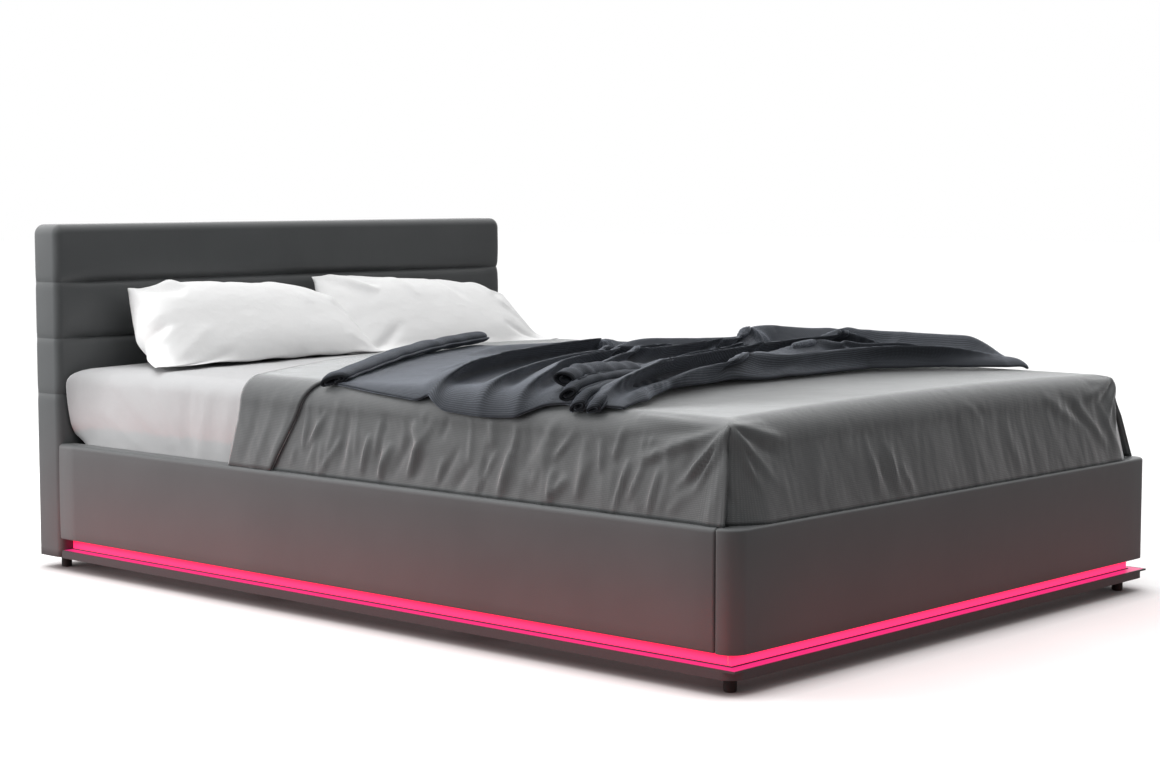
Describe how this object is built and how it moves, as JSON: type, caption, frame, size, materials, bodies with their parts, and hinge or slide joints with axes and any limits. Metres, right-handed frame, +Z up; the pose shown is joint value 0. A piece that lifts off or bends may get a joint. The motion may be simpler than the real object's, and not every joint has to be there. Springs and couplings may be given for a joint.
{
  "type": "upholstered storage bed",
  "caption": "Low upholstered double bed with padded headboard, lit plinth, gas-lift slatted base and its bedding.",
  "frame": {"origin": "on the floor, under the middle of the bed's outline", "axes": "+Z up, +Y toward the headboard, X across the bed"},
  "size_m": [1.523, 2.164, 0.835],
  "materials": {
    "leather": "satin, dark grey",
    "board": "raw board",
    "timber": "painted dark where it shows",
    "black_plastic": "matte",
    "channel_aluminium": "anodised",
    "diffuser": "opal, lit pink",
    "strip": "matte",
    "driver_plastic": "matte",
    "zinc_steel": "zinc plated",
    "black_steel": "powder coated",
    "rod_chrome": "polished",
    "beech": "bent beech, sealed",
    "webbing": "woven",
    "ticking": "knitted",
    "white_cotton": "woven, matte",
    "grey_cotton": "woven, matte",
    "navy_knit": "rib knit"
  },
  "bodies": {
    "bed_box": {"headboard_core": "board", "headboard_cover": "leather", "foot_rail_core": "board", "foot_rail_cover": "leather", "side_rail_core_left": "board", "side_rail_core_right": "board", "side_rail_cover_left": "leather", "side_rail_cover_right": "leather", "ledge_left": "timber", "ledge_right": "timber", "ledge_foot": "timber", "plinth_batten_left": "timber", "plinth_batten_right": "timber", "plinth_batten_foot": "timber", "floor_bearers": "timber", "floor_panel_head": "board", "floor_panel_middle": "board", "floor_panel_foot": "board", "corner_feet": "black_plastic", "support_feet": "black_plastic", "light_channel_left": "channel_aluminium", "light_channel_right": "channel_aluminium", "light_channel_foot": "channel_aluminium", "light_diffuser_left": "diffuser", "light_diffuser_right": "diffuser", "light_diffuser_foot": "diffuser", "light_strips": "strip", "light_driver": "driver_plastic", "corner_brackets": "zinc_steel", "corner_screws": "zinc_steel", "side_ledger_left": "timber", "side_ledger_right": "timber", "ground_bracket_left": "black_steel", "ground_bracket_right": "black_steel", "ground_pins": "zinc_steel"},
    "lift_base": {"lift_frame": "black_steel", "frame_bracket_left": "black_steel", "frame_bracket_right": "black_steel", "frame_pins": "zinc_steel", "slats_left": "beech", "slats_right": "beech", "slat_caps": "black_plastic", "lift_strap": "webbing", "mattress": "ticking", "fitted_sheet": "white_cotton", "duvet": "grey_cotton", "duvet_fold": "grey_cotton", "pillow_left": "white_cotton", "pillow_right": "white_cotton", "throw": "navy_knit"},
    "front_link_left": {"front_link_left": "black_steel"},
    "rear_link_left": {"rear_link_left": "black_steel"},
    "strut_cylinder_left": {"strut_cylinder_left": "black_steel"},
    "strut_rod_left": {"strut_rod_left": "rod_chrome"},
    "front_link_right": {"front_link_right": "black_steel"},
    "rear_link_right": {"rear_link_right": "black_steel"},
    "strut_cylinder_right": {"strut_cylinder_right": "black_steel"},
    "strut_rod_right": {"strut_rod_right": "rod_chrome"}
  },
  "joints": [
    {"name": "lift", "type": "hinge", "parent": "front_link_left", "child": "lift_base", "pos_m": [-0.688, 0.513, 0.23], "axis": [-1, 0, 0], "range_deg": [0, 124.1]},
    {"name": "front_link_left_pivot", "type": "hinge", "parent": "bed_box", "child": "front_link_left", "pos_m": [-0.688, 0.164, 0.216], "axis": [1, 0, 0], "range_deg": [0, 96.01]},
    {"name": "rear_link_left_pivot", "type": "hinge", "parent": "bed_box", "child": "rear_link_left", "pos_m": [-0.682, 0.036, 0.091], "axis": [1, 0, 0], "range_deg": [0, 86.16]},
    {"name": "strut_cylinder_left_pivot", "type": "hinge", "parent": "bed_box", "child": "strut_cylinder_left", "pos_m": [-0.7, 0.366, 0.1], "axis": [1, 0, 0], "range_deg": [0, 94.91]},
    {"name": "strut_rod_left_pivot", "type": "hinge", "parent": "lift_base", "child": "strut_rod_left", "pos_m": [-0.7, 0.653, 0.19], "axis": [1, 0, 0], "range_deg": [0, 123]},
    {"name": "front_link_right_pivot", "type": "hinge", "parent": "bed_box", "child": "front_link_right", "pos_m": [0.688, 0.164, 0.216], "axis": [1, 0, 0], "range_deg": [0, 96.01]},
    {"name": "rear_link_right_pivot", "type": "hinge", "parent": "bed_box", "child": "rear_link_right", "pos_m": [0.682, 0.036, 0.091], "axis": [1, 0, 0], "range_deg": [0, 86.16]},
    {"name": "strut_cylinder_right_pivot", "type": "hinge", "parent": "bed_box", "child": "strut_cylinder_right", "pos_m": [0.7, 0.366, 0.1], "axis": [1, 0, 0], "range_deg": [0, 94.91]},
    {"name": "strut_rod_right_pivot", "type": "hinge", "parent": "lift_base", "child": "strut_rod_right", "pos_m": [0.7, 0.653, 0.19], "axis": [1, 0, 0], "range_deg": [0, 123]}
  ],
  "couplings": [
    {"joint": "front_link_left_pivot", "follows": "lift", "ratio": 0.77359},
    {"joint": "rear_link_left_pivot", "follows": "lift", "ratio": 0.69419},
    {"joint": "strut_cylinder_left_pivot", "follows": "lift", "ratio": 0.76469},
    {"joint": "strut_rod_left_pivot", "follows": "lift", "ratio": 0.9911},
    {"joint": "front_link_right_pivot", "follows": "lift", "ratio": 0.77359},
    {"joint": "rear_link_right_pivot", "follows": "lift", "ratio": 0.69419},
    {"joint": "strut_cylinder_right_pivot", "follows": "lift", "ratio": 0.76469},
    {"joint": "strut_rod_right_pivot", "follows": "lift", "ratio": 0.9911}
  ]
}
